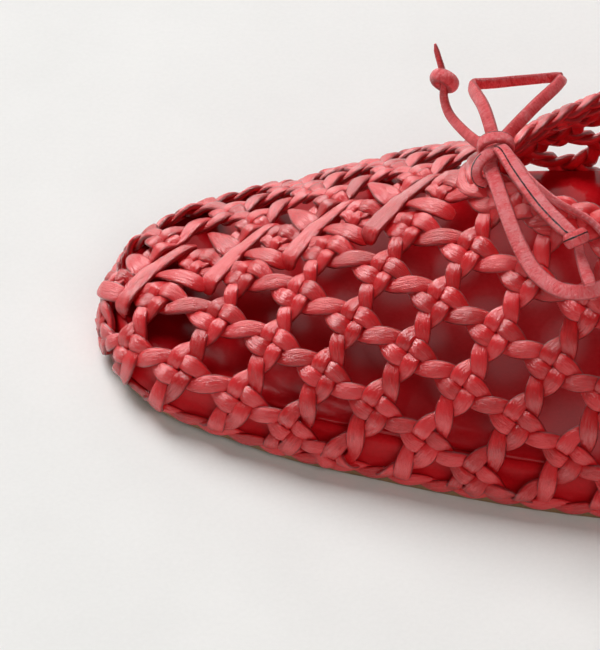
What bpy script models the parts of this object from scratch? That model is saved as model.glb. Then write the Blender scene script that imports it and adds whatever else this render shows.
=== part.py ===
# Woven leather slip-on with a bow, left foot, one shoe standing on its sole.
# Toe towards -X, outer (lateral) side towards -Y, up is +Z. Sizes are in millimetres.
import math

import bmesh
import bpy
from mathutils import Vector
from mathutils.geometry import delaunay_2d_cdt

MM = 0.001
NAME = "woven_slip_on"

# Centre of the standing box, measured from the tip of the toe on the middle line of the vamp
ORIGIN_X = 125.68
ORIGIN_Y = -1.4

# Sole, from the floor up, as heights over the underside of the outsole
OUTSOLE = 2.4
GAP = 0.3
WALL = 1.5
FLANGE_REACH = 7.0
FOOTBED = 3.2
SOCK = 0.9
EDGE_HEIGHT = 0.8
OUTSOLE_LIP = 0.3
SOCK_INSET = 1.2
TOE_ROOM = 1.5
HEEL_FRONT_CELL = 11.3
HEEL_INSET = 0.6

# Weave: two pairs of strips cross at each node, and a hole lies between four nodes
HOLE_HALF_ALONG = 0.285
HOLE_HALF_DOWN = 0.57
HOLE_FLAT_ALONG = 0.05
HOLE_FLAT_DOWN = 0.09
STRIP_RISE = 0.55
STRIP_MARGIN = 1.2
STRIP_ALONG = 0.25
STRIP_DOWN = 0.5
PAD_ALONG = 0.11
PAD_DOWN = 0.22
STRAP_RISE = 1.0
STRAP_CROSSINGS = 4
STRAP_END_ROW = 0.94
TOE_STRAP_CELLS = (-1.1, -0.82)
STRAP_SPOTS = (
    (0.0, 0.0), (0.12, 0.25), (0.12, -0.25), (-0.12, 0.25), (-0.12, -0.25), (-0.35, 0.72), (-0.35, -0.72),
)
RIM_WIDTH = 4.4
RIM_RISE = 0.75
HEM = 1.7
SEAM_HALF_CELL = 0.08
SMALLEST_VAMP_HOLE = 16.0
SMALLEST_QUARTER_HOLE = 48.0
MOST_ROWS = 12

# Flat sheet that the upper is cut from: millimetres to a cell, and how close two corners merge
SHEET_SCALE = 15.0
SHEET_TOLERANCE = 0.00001
WELD = 0.05

# Collar, from the throat on the middle line to the back of the heel
THROAT_CELL = 4.05
THROAT_END_CELL = 5.0
THROAT_ROUNDNESS = 0.68
THROAT_CROWDING = 1.8
TOE_CELL = -1.36
TOE_END_CELL = 0.5
HEEL_START_CELL = 12.0
HEEL_CELL = 15.0

# Lace of the bow
LACE = 1.8
KNOT_SIZE = (4.4, 4.4, 4.2)
END_KNOT_SIZE = (3.2, 3.6, 3.4)
LACE_STEP = 3.6
LACE_FINE = 12

# One row for each rib of the last. A rib runs from the middle line (top) down to the sole (edge).
# cell counts weave cells along the vamp, row is the height of a cell down the side.
COLUMNS = (
    "cell", "top_x", "top_z", "edge_x", "lateral", "medial", "lift", "full_lateral", "full_medial", "row",
)
SECTIONS = (
    (-1.36, 0.0, 4.9, 0.0, 0.0, 0.0, 1.8, 2.0, 2.2, 14.7),
    (-1.07, 0.1, 6.5, 0.7, 5.9, 5.9, 1.8, 2.0, 2.2, 14.7),
    (-0.71, 0.3, 9.1, 4.2, 14.3, 13.6, 1.6, 2.1, 2.2, 14.7),
    (-0.36, 3.0, 12.1, 9.6, 20.2, 19.8, 1.3, 2.2, 2.2, 14.7),
    (0.5, 15.5, 16.9, 25.9, 28.0, 31.0, 0.6, 2.4, 2.2, 14.7),
    (2.0, 35.3, 25.7, 48.4, 34.5, 35.6, 0.1, 2.2, 2.1, 14.7),
    (4.0, 63.0, 37.8, 79.3, 40.7, 38.9, 0.0, 1.75, 1.8, 14.7),
    (5.0, 76.5, 46.0, 94.6, 42.0, 39.4, 0.0, 1.78, 1.8, 15.2),
    (6.0, 90.5, 52.5, 110.5, 42.0, 38.4, 0.0, 1.85, 1.85, 16.2),
    (8.0, 122.0, 58.5, 146.0, 37.0, 32.0, 1.9, 2.3, 2.3, 18.0),
    (10.0, 157.0, 62.5, 182.0, 31.5, 29.0, 4.9, 2.9, 2.9, 18.0),
    (12.0, 191.0, 66.0, 216.5, 29.5, 29.0, 5.6, 3.3, 3.3, 18.0),
    (13.0, 205.0, 67.0, 233.0, 26.5, 26.5, 5.6, 3.4, 3.4, 18.0),
    (14.0, 214.0, 68.0, 246.0, 17.5, 17.5, 5.6, 3.5, 3.5, 18.0),
    (15.0, 218.0, 68.0, 252.0, 0.0, 0.0, 5.6, 3.5, 3.5, 18.0),
)
SIDEWAYS_COLUMNS = ("lateral", "medial")

COLLAR_COLUMNS = ("cell", "height")
COLLAR = (
    (5.0, 42.0),
    (6.0, 42.0),
    (8.0, 43.0),
    (10.0, 46.0),
    (12.0, 50.5),
    (14.0, 56.0),
    (15.0, 57.5),
)

# Routes of the lace, from the knot outwards (x from the toe, y, z)
KNOT_PLACE = (64.8, -0.2, 42.0)
FAR_LOOP = (
    (64.2, 2.9, 43.5), (62.8, 7.7, 44.6), (61.2, 12.9, 43.7), (61.1, 15.3, 43.1), (64.6, 15.7, 43.3),
    (69.5, 15.7, 44.1), (74.8, 15.3, 45.1), (74.9, 13.0, 45.7), (71.0, 7.6, 45.0), (66.9, 2.6, 43.2),
)
FAR_END = ((62.2, 1.9, 41.7), (59.6, 5.2, 41.6), (57.3, 9.0, 41.8), (56.3, 11.6, 43.2))
FAR_END_KNOT = (56.3, 13.3, 45.3)
FAR_TAIL = ((55.7, 14.6, 47.2), (55.1, 15.2, 49.0), (54.6, 15.6, 51.0))
NEAR_LOOP = (
    (64.2, -2.8, 41.0), (65.6, -7.8, 40.2), (67.3, -12.9, 38.6), (69.4, -17.7, 36.5), (72.0, -21.9, 34.9),
    (75.8, -25.3, 34.5), (80.1, -26.4, 35.4), (83.7, -25.5, 36.9), (84.3, -22.2, 39.5), (80.8, -17.7, 41.9),
    (74.9, -12.8, 42.1), (70.5, -7.4, 42.3), (67.7, -2.0, 42.2),
)
NEAR_END = ((66.0, -2.6, 44.0), (68.3, -8.3, 44.4), (72.1, -14.6, 43.3), (75.7, -18.4, 41.9))
NEAR_END_KNOT = (78.0, -20.2, 41.0)
NEAR_TAIL = ((78.6, -22.1, 39.6), (79.4, -24.8, 38.7), (80.3, -27.4, 37.8))

COLOURS = {
    "upper": ((0.42, 0.030, 0.042), 0.42),
    "outsole": ((0.16, 0.105, 0.065), 0.75),
    "heel": ((0.13, 0.085, 0.055), 0.75),
    "footbed": ((0.36, 0.022, 0.032), 0.45),
    "sock": ((0.24, 0.065, 0.072), 0.6),
    "lace": ((0.44, 0.035, 0.046), 0.4),
}


def clear_scene():
    for item in list(bpy.data.objects):
        bpy.data.objects.remove(item, do_unlink=True)


def place(x, y, z):
    return Vector(((x - ORIGIN_X) * MM, (y - ORIGIN_Y) * MM, z * MM))


def smooth(keys, values, key, flat_ends):
    last = len(keys) - 1
    key = min(max(key, keys[0]), keys[-1])
    low = 0
    while low < last - 1 and key > keys[low + 1]:
        low += 1
    slopes = []
    for index in (low, low + 1):
        before = max(index - 1, 0)
        after = min(index + 1, last)
        step_in = keys[index] - keys[before]
        step_out = keys[after] - keys[index]
        if step_in == 0 or step_out == 0:
            rise = (values[after] - values[before]) / (step_in + step_out)
            slopes.append(0.0 if flat_ends else rise)
            continue
        slope_in = (values[index] - values[before]) / step_in
        slope_out = (values[after] - values[index]) / step_out
        slopes.append((step_out * slope_in + step_in * slope_out) / (step_in + step_out))
    span = keys[low + 1] - keys[low]
    t = (key - keys[low]) / span
    start = (2 * t ** 3 - 3 * t ** 2 + 1) * values[low] + (t ** 3 - 2 * t ** 2 + t) * span * slopes[0]
    end = (3 * t ** 2 - 2 * t ** 3) * values[low + 1] + (t ** 3 - t ** 2) * span * slopes[1]
    return start + end


SECTION_VALUES = {name: [row[i] for row in SECTIONS] for i, name in enumerate(COLUMNS)}
COLLAR_VALUES = {name: [row[i] for row in COLLAR] for i, name in enumerate(COLLAR_COLUMNS)}


def section(name, cell):
    return smooth(SECTION_VALUES["cell"], SECTION_VALUES[name], cell, name not in SIDEWAYS_COLUMNS)


def lift(cell):
    return max(section("lift", cell), 0.0)


def half_width(cell, side):
    return max(section("lateral" if side < 0 else "medial", cell), 0.0)


def rib_point(cell, reach, side):
    """Point on a rib of the last; reach is 0 on the middle line and 1 at the sole."""
    fullness = section("full_lateral" if side < 0 else "full_medial", cell)
    floor = lift(cell) + EDGE_HEIGHT
    top_x = section("top_x", cell)
    top_z = section("top_z", cell)
    x = top_x + (section("edge_x", cell) - top_x) * reach
    y = side * half_width(cell, side) * reach
    z = floor + (top_z - floor) * max(1.0 - reach ** fullness, 0.0) ** (1.0 / fullness)
    return Vector((x, y, z))


RIB_STEPS = 40
RIB_CACHE = {}


def rib(cell, side):
    """Points down a rib with their distance from the middle line."""
    key = (round(cell, 5), side)
    if key not in RIB_CACHE:
        points = []
        for step in range(RIB_STEPS + 1):
            reach = math.sin(0.5 * math.pi * step / RIB_STEPS)
            points.append(rib_point(cell, min(reach, 1.0), side))
        lengths = [0.0]
        for before, after in zip(points, points[1:]):
            lengths.append(lengths[-1] + (after - before).length)
        RIB_CACHE[key] = (lengths, points)
    return RIB_CACHE[key]


def sheet_point(cell, across):
    """Point of the last's surface; across is the distance from the middle line, minus on the outer side."""
    lengths, points = rib(cell, -1 if across < 0 else 1)
    down = min(abs(across), lengths[-1])
    index = 0
    while index < RIB_STEPS - 1 and down > lengths[index + 1]:
        index += 1
    span = lengths[index + 1] - lengths[index]
    share = (down - lengths[index]) / span if span > 0 else 0.0
    return points[index].lerp(points[index + 1], share)


def sheet_normal(cell, across):
    step_cell = 0.04
    step_across = 0.4
    low_cell = max(cell - step_cell, TOE_CELL)
    high_cell = min(cell + step_cell, HEEL_CELL)
    along = sheet_point(high_cell, across) - sheet_point(low_cell, across)
    sideways = sheet_point(cell, across + step_across) - sheet_point(cell, across - step_across)
    normal = along.cross(sideways)
    return normal.normalized() if normal.length > 0 else Vector((-1, 0, 0))


def down_to_height(cell, height, side):
    lengths, points = rib(cell, side)
    for index in range(RIB_STEPS):
        upper = points[index].z
        lower = points[index + 1].z
        if upper >= height >= lower and upper > lower:
            share = (upper - height) / (upper - lower)
            return lengths[index] + (lengths[index + 1] - lengths[index]) * share
    return 0.0 if points[0].z < height else lengths[-1]


def lift_at(x):
    """Height of the sole's underside at a distance from the toe."""
    low = TOE_CELL
    high = HEEL_CELL
    for _ in range(24):
        middle = (low + high) / 2
        if section("edge_x", middle) < x:
            low = middle
        else:
            high = middle
    return lift((low + high) / 2)


def hem_down(cell, side):
    return down_to_height(cell, lift(cell) + OUTSOLE + GAP, side)


def collar_down(cell, side):
    if cell <= THROAT_CELL:
        return 0.0
    if cell < THROAT_END_CELL:
        share = (cell - THROAT_CELL) / (THROAT_END_CELL - THROAT_CELL)
        return collar_down(THROAT_END_CELL, side) * share ** THROAT_ROUNDNESS
    height = smooth(COLLAR_VALUES["cell"], COLLAR_VALUES["height"], cell, True)
    return down_to_height(cell, height, side)


def spread(start, end, count):
    return [start + (end - start) * i / count for i in range(count + 1)]


def new_object(name, data, colour_key, collection):
    item = bpy.data.objects.new(name, data)
    collection.objects.link(item)
    colour, roughness = COLOURS[colour_key]
    material = bpy.data.materials.new(name)
    material.use_nodes = True
    shader = material.node_tree.nodes["Principled BSDF"]
    shader.inputs["Base Color"].default_value = (*colour, 1.0)
    shader.inputs["Roughness"].default_value = roughness
    shader.inputs["Metallic"].default_value = 0.0
    data.materials.append(material)
    return item


def add_solidify(item, thickness, offset):
    wall = item.modifiers.new("wall", "SOLIDIFY")
    wall.thickness = thickness * MM
    wall.offset = offset
    wall.use_even_offset = False


def weave_across(cell, row):
    return row * section("row", cell) / 2


def hole_outline(cell, row):
    corners = (
        (HOLE_HALF_ALONG, HOLE_FLAT_DOWN), (HOLE_FLAT_ALONG, HOLE_HALF_DOWN),
        (-HOLE_FLAT_ALONG, HOLE_HALF_DOWN), (-HOLE_HALF_ALONG, HOLE_FLAT_DOWN),
        (-HOLE_HALF_ALONG, -HOLE_FLAT_DOWN), (-HOLE_FLAT_ALONG, -HOLE_HALF_DOWN),
        (HOLE_FLAT_ALONG, -HOLE_HALF_DOWN), (HOLE_HALF_ALONG, -HOLE_FLAT_DOWN),
    )
    outline = []
    for along, down in corners:
        corner_row = row + down
        if abs(row) == 1 and abs(corner_row) < STRAP_END_ROW:
            corner_row = row * STRAP_END_ROW
        outline.append((cell + along, weave_across(cell + along, corner_row)))
    return outline


def clip(outline, keep):
    """Part of an outline where keep(cell, across) is positive."""
    kept = []
    for index, point in enumerate(outline):
        other = outline[(index + 1) % len(outline)]
        here = keep(*point)
        there = keep(*other)
        if here >= 0:
            kept.append(point)
        if (here >= 0) != (there >= 0):
            share = here / (here - there)
            kept.append(tuple(a + (b - a) * share for a, b in zip(point, other)))
    return kept


def outline_area(outline):
    total = 0.0
    for index, (cell, across) in enumerate(outline):
        next_cell, next_across = outline[(index + 1) % len(outline)]
        total += (cell * next_across - next_cell * across) * SHEET_SCALE
    return abs(total) / 2


def inside_outline(outline, cell, across):
    inside = False
    for index, (cell_b, across_b) in enumerate(outline):
        cell_a, across_a = outline[index - 1]
        if (across_a > across) != (across_b > across):
            share = (across - across_a) / (across_b - across_a)
            inside ^= cell < cell_a + share * (cell_b - cell_a)
    return inside


def weave_places(node):
    """Nodes of the weave, or the middles of its holes, as cell and row."""
    places = []
    for row in range(-MOST_ROWS, MOST_ROWS + 1):
        offset = 0.5 if (row % 2 == 0) == node else 0.0
        for whole in range(math.ceil(TOE_CELL), math.ceil(HEEL_CELL)):
            if whole + offset < HEEL_CELL:
                places.append((whole + offset, row))
    return places


def rim_down(cell, side):
    """Distance from the middle line to the lower edge of the collar's rim."""
    return collar_down(cell, side) + RIM_WIDTH if cell > THROAT_CELL else 0.0


def hole_limits(side):
    """A hole stays above the hem, below the rim and clear of the back seam."""

    def above_hem(cell, across):
        return hem_down(cell, side) - HEM - abs(across)

    def below_rim(cell, across):
        return abs(across) - rim_down(cell, side)

    def before_seam(cell, across):
        return HEEL_CELL - SEAM_HALF_CELL - cell

    return above_hem, below_rim, before_seam


def upper_holes():
    holes = []
    for cell, row in weave_places(node=False):
        if row == 0:
            continue
        outline = hole_outline(cell, row)
        for keep in hole_limits(-1 if row < 0 else 1):
            if outline:
                outline = clip(outline, keep)
        smallest = SMALLEST_VAMP_HOLE if cell < THROAT_END_CELL else SMALLEST_QUARTER_HOLE
        if outline and outline_area(outline) > smallest:
            holes.append(outline)
    return holes


def relief_points(holes):
    """Raised points on the strips, pads, straps and rim: cell, distance across, rise."""
    points = []
    for cell, row in weave_places(node=True):
        spots = [(STRIP_ALONG, STRIP_DOWN), (STRIP_ALONG, -STRIP_DOWN)]
        if cell < THROAT_END_CELL:
            spots += [(PAD_ALONG, 0.0), (-PAD_ALONG, 0.0), (0.0, PAD_DOWN), (0.0, -PAD_DOWN)]
        else:
            spots += [(0.0, 0.0)]
        for along, down in spots:
            points.append((cell + along, weave_across(cell + along, row + down), STRIP_RISE))
    for crossing in range(STRAP_CROSSINGS):
        for along, down in STRAP_SPOTS:
            points.append((crossing + along, weave_across(crossing, down), STRAP_RISE))
    for cell in TOE_STRAP_CELLS:
        points.append((cell, 0.0, STRAP_RISE))
    kept = []
    for cell, across, rise in points:
        side = -1 if across < 0 else 1
        if not rim_down(cell, side) <= abs(across) < hem_down(cell, side) - STRIP_MARGIN:
            continue
        if not any(inside_outline(outline, cell, across) for outline in holes):
            kept.append((cell, across, rise))
    return kept


def rim_points(collar_cells):
    """Raised points along the middle of the collar's rim."""
    points = []
    for side in (-1, 1):
        for low_cell, high_cell in zip(collar_cells[1:], collar_cells[2:]):
            middle = (low_cell + high_cell) / 2
            points.append((middle, side * (collar_down(middle, side) + RIM_WIDTH / 2), RIM_RISE))
    return points


def hem_line(side):
    toe_cells = spread(TOE_CELL, TOE_END_CELL, 8)
    side_cells = spread(TOE_END_CELL, HEEL_START_CELL, 28)[1:]
    heel_cells = spread(HEEL_START_CELL, HEEL_CELL, 8)[1:]
    return [(cell, side * hem_down(cell, side)) for cell in toe_cells + side_cells + heel_cells]


def collar_line():
    throat_share = [(step / 5) ** THROAT_CROWDING for step in range(6)]
    throat_cells = [THROAT_CELL + (THROAT_END_CELL - THROAT_CELL) * share for share in throat_share]
    return throat_cells + spread(THROAT_END_CELL, HEEL_CELL, 26)[1:]


def upper_border(collar_cells):
    """Edge of the sheet from the toe: outer hem, back seam, collar, back seam and inner hem."""
    collar = {}
    seam = {}
    for side in (-1, 1):
        collar[side] = [(cell, side * collar_down(cell, side)) for cell in collar_cells]
        downs = spread(hem_down(HEEL_CELL, side), collar_down(HEEL_CELL, side), 5)[1:-1]
        seam[side] = [(HEEL_CELL, side * down) for down in downs]
    outer = hem_line(-1) + seam[-1] + collar[-1][::-1]
    inner = collar[1][1:] + seam[1][::-1] + hem_line(1)[:0:-1]
    return outer + inner


def add_flange(mesh_builder):
    """Edge of the upper turned in between the outsole and the footbed."""
    hem = hem_line(-1) + hem_line(1)[-2:0:-1]
    ring = [sheet_point(cell, across) for cell, across in hem]
    outer = []
    inner = []
    for index, spot in enumerate(ring):
        along = ring[(index + 1) % len(ring)] - ring[index - 1]
        inward = Vector((-along.y, along.x, 0.0)).normalized()
        end = spot + inward * FLANGE_REACH
        outer.append(mesh_builder.verts.new(place(*spot)))
        inner.append(mesh_builder.verts.new(place(end.x, end.y, lift_at(end.x) + OUTSOLE + GAP)))
    for index in range(len(ring)):
        mesh_builder.faces.new((outer[index - 1], inner[index - 1], inner[index], outer[index]))


def build_upper(collection):
    collar_cells = collar_line()
    holes = upper_holes()
    outlines = [upper_border(collar_cells)] + holes
    spots = []
    faces = []
    for outline in outlines:
        faces.append(list(range(len(spots), len(spots) + len(outline))))
        spots += [(cell, across, 0.0) for cell, across in outline]
    spots += relief_points(holes) + rim_points(collar_cells)
    flat = [Vector((cell * SHEET_SCALE, across)) for cell, across, _ in spots]
    points, _, triangles, origins, _, owners = delaunay_2d_cdt(flat, [], faces, 0, SHEET_TOLERANCE)
    mesh_builder = bmesh.new()
    verts = []
    for origin in origins:
        cell, across, rise = spots[origin[0]]
        spot = sheet_point(cell, across) + sheet_normal(cell, across) * rise
        verts.append(mesh_builder.verts.new(place(*spot)))
    for triangle, owner in zip(triangles, owners):
        if list(owner) == [0]:
            mesh_builder.faces.new([verts[i] for i in triangle])
    add_flange(mesh_builder)
    upper = finish_mesh("upper", "upper", mesh_builder, collection)
    add_solidify(upper, WALL, -1.0)


def finish_mesh(name, colour_key, mesh_builder, collection):
    loose = [vert for vert in mesh_builder.verts if not vert.link_faces]
    bmesh.ops.delete(mesh_builder, geom=loose, context="VERTS")
    bmesh.ops.remove_doubles(mesh_builder, verts=mesh_builder.verts, dist=WELD * MM)
    data = bpy.data.meshes.new(name)
    mesh_builder.to_mesh(data)
    mesh_builder.free()
    return new_object(name, data, colour_key, collection)


def sole_sheet(name, colour_key, cells, outline, height, thickness, collection):
    """Sheet of the sole: outline(cell, side) gives its edge in plan, height(x) its underside."""
    lanes = (-1.0, 0.0, 1.0)
    mesh_builder = bmesh.new()
    rows = []
    for cell in cells:
        left = outline(cell, -1)
        right = outline(cell, 1)
        middle = (left + right) / 2
        row = []
        for lane in lanes:
            spot = middle.lerp(left if lane < 0 else right, abs(lane))
            row.append(mesh_builder.verts.new(place(spot.x, spot.y, height(spot.x))))
        rows.append(row)
    for front, back in zip(rows, rows[1:]):
        for lane in range(len(lanes) - 1):
            mesh_builder.faces.new((front[lane], back[lane], back[lane + 1], front[lane + 1]))
    item = finish_mesh(name, colour_key, mesh_builder, collection)
    add_solidify(item, thickness, 1.0)


def sole_edge(cell, side, outset):
    point = rib_point(cell, 1.0, side)
    step = 0.03
    ahead = rib_point(min(cell + step, HEEL_CELL), 1.0, side)
    behind = rib_point(max(cell - step, TOE_CELL), 1.0, side)
    along = ahead - behind
    outward = Vector((along.y, -along.x, 0.0)) * (-side)
    if cell <= TOE_CELL:
        outward = Vector((-1.0, 0.0, 0.0))
    if cell >= HEEL_CELL:
        outward = Vector((1.0, 0.0, 0.0))
    return Vector((point.x, point.y, 0.0)) + outward.normalized() * outset


def outsole_edge(cell, side):
    return sole_edge(cell, side, OUTSOLE_LIP)


def heel_edge(cell, side):
    return sole_edge(cell, side, -HEEL_INSET)


def inner_edge(cell, side, level, inset):
    """Edge of a layer that fits inside the upper, at a height over the underside of the sole."""
    height = lift(cell) + level + WALL
    point = sheet_point(cell, side * down_to_height(cell, height, side))
    middle = rib_point(cell, 0.0, side)
    inward = Vector((middle.x - point.x, middle.y - point.y, 0.0))
    step = min(WALL + 2 * GAP + inset, inward.length)
    return Vector((point.x, point.y, 0.0)) + inward.normalized() * step


def build_sole(collection):
    toe_cells = spread(TOE_CELL, TOE_END_CELL, 8)
    middle_cells = spread(TOE_END_CELL, HEEL_START_CELL, 20)[1:]
    heel_cells = spread(HEEL_START_CELL, HEEL_CELL, 9)[1:]
    all_cells = toe_cells + middle_cells + heel_cells
    sole_sheet("outsole", "outsole", all_cells, outsole_edge, lift_at, OUTSOLE, collection)
    block_cells = [HEEL_FRONT_CELL] + [cell for cell in all_cells if cell > HEEL_FRONT_CELL]
    heel_height = min(lift(HEEL_FRONT_CELL), lift(HEEL_CELL)) - GAP
    sole_sheet("heel", "heel", block_cells, heel_edge, lambda x: 0.0, heel_height, collection)
    footbed_level = OUTSOLE + GAP + WALL + GAP
    footbed_top = footbed_level + FOOTBED
    sock_level = footbed_top + GAP
    sock_top = sock_level + SOCK
    room = sock_top + WALL + TOE_ROOM
    inner_cells = [cell for cell in all_cells if section("top_z", cell) > lift(cell) + room]

    def footbed_edge(cell, side):
        return inner_edge(cell, side, footbed_top, 0.0)

    def sock_edge(cell, side):
        return inner_edge(cell, side, sock_top, SOCK_INSET)

    def footbed_under(x):
        return lift_at(x) + footbed_level

    def sock_under(x):
        return lift_at(x) + sock_level

    sole_sheet("footbed", "footbed", inner_cells, footbed_edge, footbed_under, FOOTBED, collection)
    sole_sheet("sock", "sock", inner_cells, sock_edge, sock_under, SOCK, collection)


def curve_through(points, step):
    """Points along a smooth curve through the route, about one step apart."""
    route = [Vector(point) for point in points]
    padded = [route[0] * 2 - route[1]] + route + [route[-1] * 2 - route[-2]]
    fine = []
    for before, start, end, after in zip(padded, padded[1:], padded[2:], padded[3:]):
        for part in range(LACE_FINE):
            t = part / LACE_FINE
            spot = start * (1 - 3 * t ** 2 + 2 * t ** 3) + end * (3 * t ** 2 - 2 * t ** 3)
            spot += (end - before) / 2 * (t ** 3 - 2 * t ** 2 + t)
            spot += (after - start) / 2 * (t ** 3 - t ** 2)
            fine.append(spot)
    fine.append(route[-1])
    length = sum((b - a).length for a, b in zip(fine, fine[1:]))
    count = max(3, round(length / step))
    spots = [fine[0]]
    travelled = 0.0
    target = length / count
    for before, after in zip(fine, fine[1:]):
        travelled += (after - before).length
        if travelled >= target * len(spots) and len(spots) < count:
            spots.append(after)
    spots.append(fine[-1])
    return spots


def build_lace(name, route, collection):
    data = bpy.data.curves.new(name, "CURVE")
    data.dimensions = "3D"
    spots = curve_through(route, LACE_STEP)
    spline = data.splines.new("POLY")
    spline.points.add(len(spots) - 1)
    for point, spot in zip(spline.points, spots):
        point.co = (*place(*spot), 1.0)
    data.bevel_depth = LACE / 2 * MM
    data.bevel_resolution = 2
    data.use_fill_caps = True
    new_object(name, data, "lace", collection)


def build_knot(name, middle, size, collection):
    mesh_builder = bmesh.new()
    bmesh.ops.create_uvsphere(mesh_builder, u_segments=12, v_segments=8, radius=0.5)
    for vert in mesh_builder.verts:
        stretched = Vector(a * b for a, b in zip(vert.co, size))
        vert.co = place(*(Vector(middle) + stretched))
    finish_mesh(name, "lace", mesh_builder, collection)


def build_bow(collection):
    build_knot("bow_knot", KNOT_PLACE, KNOT_SIZE, collection)
    build_lace("bow_loop_far", FAR_LOOP, collection)
    build_lace("bow_loop_near", NEAR_LOOP, collection)
    build_lace("bow_end_far", FAR_END, collection)
    build_lace("bow_end_near", NEAR_END, collection)
    build_knot("bow_end_knot_far", FAR_END_KNOT, END_KNOT_SIZE, collection)
    build_knot("bow_end_knot_near", NEAR_END_KNOT, END_KNOT_SIZE, collection)
    build_lace("bow_tail_far", FAR_TAIL, collection)
    build_lace("bow_tail_near", NEAR_TAIL, collection)


def main():
    clear_scene()
    collection = bpy.data.collections.new(NAME)
    bpy.context.scene.collection.children.link(collection)
    build_sole(collection)
    build_upper(collection)
    build_bow(collection)


main()
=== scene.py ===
# Woven leather slip-on with a lace bow: the looks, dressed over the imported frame
import math

import bpy
import numpy as np
from mathutils import Matrix, Vector


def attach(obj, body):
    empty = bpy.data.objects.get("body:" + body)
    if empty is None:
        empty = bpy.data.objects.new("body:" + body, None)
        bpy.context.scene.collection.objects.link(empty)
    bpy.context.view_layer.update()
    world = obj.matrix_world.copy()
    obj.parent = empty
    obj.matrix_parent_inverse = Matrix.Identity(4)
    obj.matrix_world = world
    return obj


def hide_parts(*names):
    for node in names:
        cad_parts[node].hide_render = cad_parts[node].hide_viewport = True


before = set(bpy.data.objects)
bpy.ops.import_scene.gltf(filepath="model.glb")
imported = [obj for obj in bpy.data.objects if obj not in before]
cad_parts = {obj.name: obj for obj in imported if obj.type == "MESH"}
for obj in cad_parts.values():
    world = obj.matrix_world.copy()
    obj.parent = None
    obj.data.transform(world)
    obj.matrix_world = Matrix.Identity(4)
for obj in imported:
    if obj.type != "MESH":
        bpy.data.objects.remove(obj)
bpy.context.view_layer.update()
scene = bpy.context.scene
scene.view_settings.view_transform = "Standard"
mm = 0.001
print("frame loaded:", len(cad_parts), "nodes")


# the last that the shoe is woven on, as in the part: toe at x 0, millimetres
lastShape = {
    "originX": 125.68, "originY": -1.4,   # middle of the standing box
    "toeCell": -1.36, "heelCell": 15.0,
    "throatCell": 4.05, "throatEndCell": 5.0, "throatRoundness": 0.68,
    "edgeHeight": 0.8,
    "hemRadius": 1.2, "hemReach": 5.0, "smallestTurn": 0.05, "turnSteps": 6,   # where the weave turns in
    "hemShift": 0.5, "swellHeight": 9.0,   # the wall swells out over the sole's edge
    "hemCells": (-0.9, 0.3, 4.0, 5.2), "hemHeights": (0.8, 2.0, 2.2, 2.7),   # lower round the toe
    # how deep the weave lies below the last: distances from the middle line, then cell and depths
    "insetAcross": (-9.0, -4.5, 0.0, 4.5, 10.0, 24.0),
    "insetRows": (
        (-1.36, 0.2, 0.2, 0.3, 0.6, 1.0, 1.0),
        (-0.95, 0.2, 0.3, 0.4, 0.4, 0.5, 0.6),
        (-0.6, 0.2, 0.4, 0.6, 0.1, -0.6, -0.8),
        (0.0, 0.0, 0.6, 1.2, 0.8, -0.1, -0.4),
        (0.5, 0.0, 0.6, 1.3, 1.1, 0.8, 0.9),
        (1.0, 0.0, 0.6, 1.4, 1.2, 1.0, 1.7),
        (2.0, 0.0, 0.5, 1.2, 1.0, 0.9, 1.0),
        (3.2, 0.0, 0.4, 0.9, 0.8, 0.75, 0.75),
        (4.3, 0.0, 0.0, 0.2, 0.4, 0.75, 0.75),
    ),
    "cellStep": 0.04, "acrossStep": 0.4, "acrossEnd": 96.0, "ribSteps": 160,
    "facingProbe": (0.07, 0.7),   # how far to either side the surface is felt for its facing
}
lastColumns = ("cell", "topX", "topZ", "edgeX", "outer", "inner", "lift", "fullOuter", "fullInner", "row")
lastSections = (
    (-1.36, 0.0, 4.9, 0.0, 0.0, 0.0, 1.8, 2.0, 2.2, 14.7),
    (-1.07, 0.1, 6.5, 0.7, 5.9, 5.9, 1.8, 2.0, 2.2, 14.7),
    (-0.71, 0.3, 9.1, 4.2, 14.3, 13.6, 1.6, 2.1, 2.2, 14.7),
    (-0.36, 3.0, 12.1, 9.6, 20.2, 19.8, 1.3, 2.2, 2.2, 14.7),
    (0.5, 15.5, 16.9, 25.9, 28.0, 31.0, 0.6, 2.4, 2.2, 14.7),
    (2.0, 35.3, 25.7, 48.4, 34.5, 35.6, 0.1, 2.2, 2.1, 14.7),
    (4.0, 63.0, 37.8, 79.3, 40.7, 38.9, 0.0, 1.75, 1.8, 14.7),
    (5.0, 76.5, 46.0, 94.6, 42.0, 39.4, 0.0, 1.78, 1.8, 15.2),
    (6.0, 90.5, 52.5, 110.5, 42.0, 38.4, 0.0, 1.85, 1.85, 16.2),
    (8.0, 122.0, 58.5, 146.0, 37.0, 32.0, 1.9, 2.3, 2.3, 18.0),
    (10.0, 157.0, 62.5, 182.0, 31.5, 29.0, 4.9, 2.9, 2.9, 18.0),
    (12.0, 191.0, 66.0, 216.5, 29.5, 29.0, 5.6, 3.3, 3.3, 18.0),
    (13.0, 205.0, 67.0, 233.0, 26.5, 26.5, 5.6, 3.4, 3.4, 18.0),
    (14.0, 214.0, 68.0, 246.0, 17.5, 17.5, 5.6, 3.5, 3.5, 18.0),
    (15.0, 218.0, 68.0, 252.0, 0.0, 0.0, 5.6, 3.5, 3.5, 18.0),
)
collarCells = (5.0, 6.0, 8.0, 10.0, 12.0, 14.0, 15.0)
collarHeights = (42.0, 42.0, 43.0, 46.0, 50.5, 56.0, 57.5)


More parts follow.
